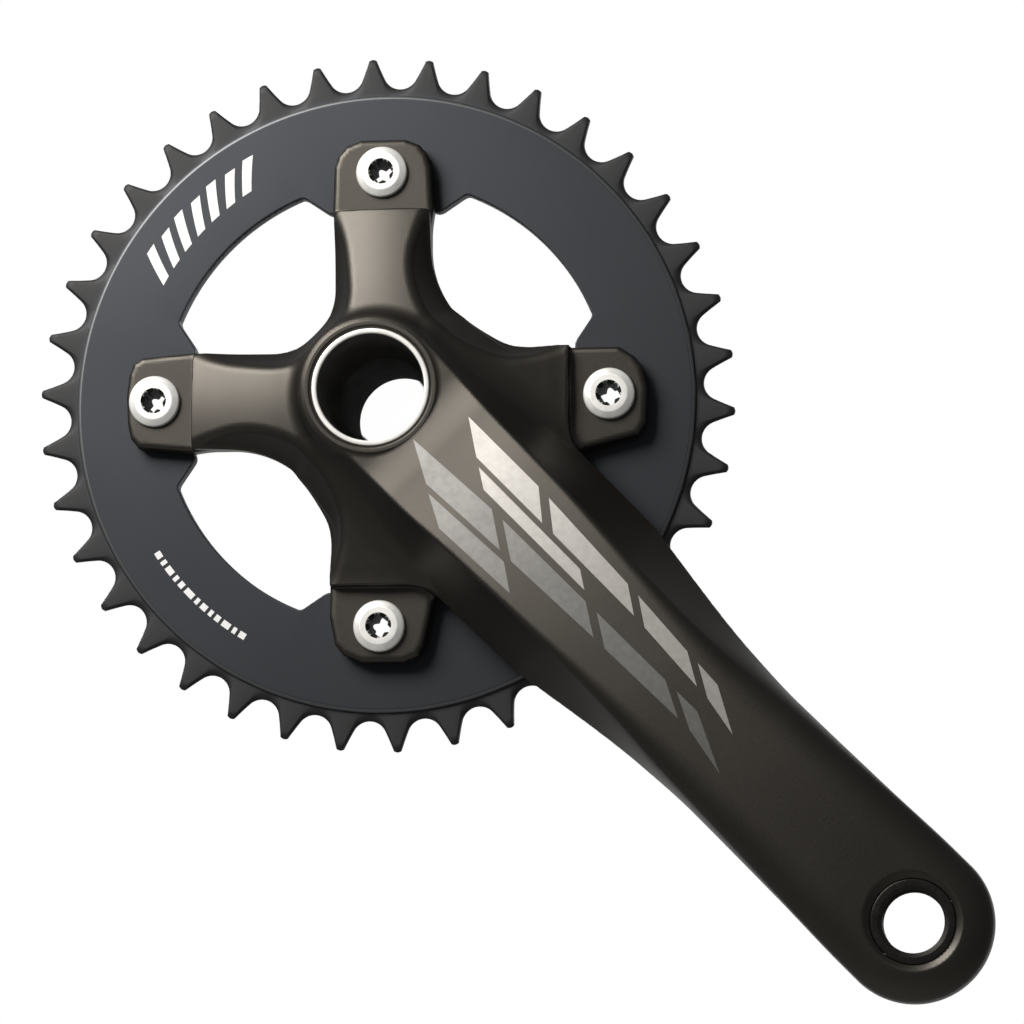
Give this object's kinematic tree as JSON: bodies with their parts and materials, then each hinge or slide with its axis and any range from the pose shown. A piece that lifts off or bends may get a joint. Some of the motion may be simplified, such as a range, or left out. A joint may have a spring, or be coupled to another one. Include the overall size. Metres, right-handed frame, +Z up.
{
  "type": "bicycle crankset",
  "caption": "Drive-side bicycle crank: tapered forged arm with four-arm spider, narrow single chainring, hollow splined through spindle and external-cup bottom bracket.",
  "frame": {"origin": "on the spindle axis, at the middle of the bottom-bracket shell width", "axes": "+X forwards, +Y towards the left side of the bicycle along the spindle axis, +Z up; the drive side faces -Y and the arm is stored 45 degrees below +X"},
  "size_m": [0.2176, 0.152, 0.2176],
  "materials": {
    "arm_anodised": "satin bronze-grey anodised",
    "ring_anodised": "satin blue-grey anodised",
    "bolt_steel": "bright zinc plated",
    "spindle_steel": "fine turned steel",
    "insert_steel": "blackened steel",
    "cup_alloy": "black anodised",
    "black_plastic": "moulded",
    "seal_rubber": "smooth",
    "bearing_steel": "ground and polished"
  },
  "bodies": {
    "bottom_bracket": {"bearing_cup_right": "cup_alloy", "bearing_cup_left": "cup_alloy", "shell_spacer": "cup_alloy", "shell_sleeve": "black_plastic", "sleeve_o_ring_right": "seal_rubber", "sleeve_o_ring_left": "seal_rubber", "bearing_outer_race_right": "bearing_steel", "bearing_outer_race_left": "bearing_steel", "bearing_seal_right": "seal_rubber", "bearing_seal_left": "seal_rubber"},
    "crank": {"crank_arm": "arm_anodised", "spindle": "spindle_steel", "pedal_thread_insert": "insert_steel", "chainring": "ring_anodised", "chainring_bolt_top": "bolt_steel", "chainring_bolt_rear": "bolt_steel", "chainring_bolt_bottom": "bolt_steel", "chainring_bolt_front": "bolt_steel", "chainring_nut_top": "bolt_steel", "chainring_nut_rear": "bolt_steel", "chainring_nut_bottom": "bolt_steel", "chainring_nut_front": "bolt_steel", "bearing_inner_race_right": "bearing_steel", "bearing_inner_race_left": "bearing_steel", "spindle_bushing_right": "black_plastic", "spindle_bushing_left": "black_plastic"},
    "ball_cage_right": {"ball_cage_right": "bearing_steel"},
    "ball_cage_left": {"ball_cage_left": "bearing_steel"}
  },
  "joints": [
    {"name": "crank_spin", "type": "hinge", "parent": "bottom_bracket", "child": "crank", "pos_m": [0, 0, 0], "axis": [0, 1, 0], "continuous": true},
    {"name": "ball_cage_right_orbit", "type": "hinge", "parent": "bottom_bracket", "child": "ball_cage_right", "pos_m": [0, -0.0459, 0], "axis": [0, 1, 0], "continuous": true},
    {"name": "ball_cage_left_orbit", "type": "hinge", "parent": "bottom_bracket", "child": "ball_cage_left", "pos_m": [0, 0.0433, 0], "axis": [0, 1, 0], "continuous": true}
  ],
  "couplings": [
    {"joint": "ball_cage_right_orbit", "follows": "crank_spin", "ratio": 0.4452},
    {"joint": "ball_cage_left_orbit", "follows": "crank_spin", "ratio": 0.4452}
  ]
}
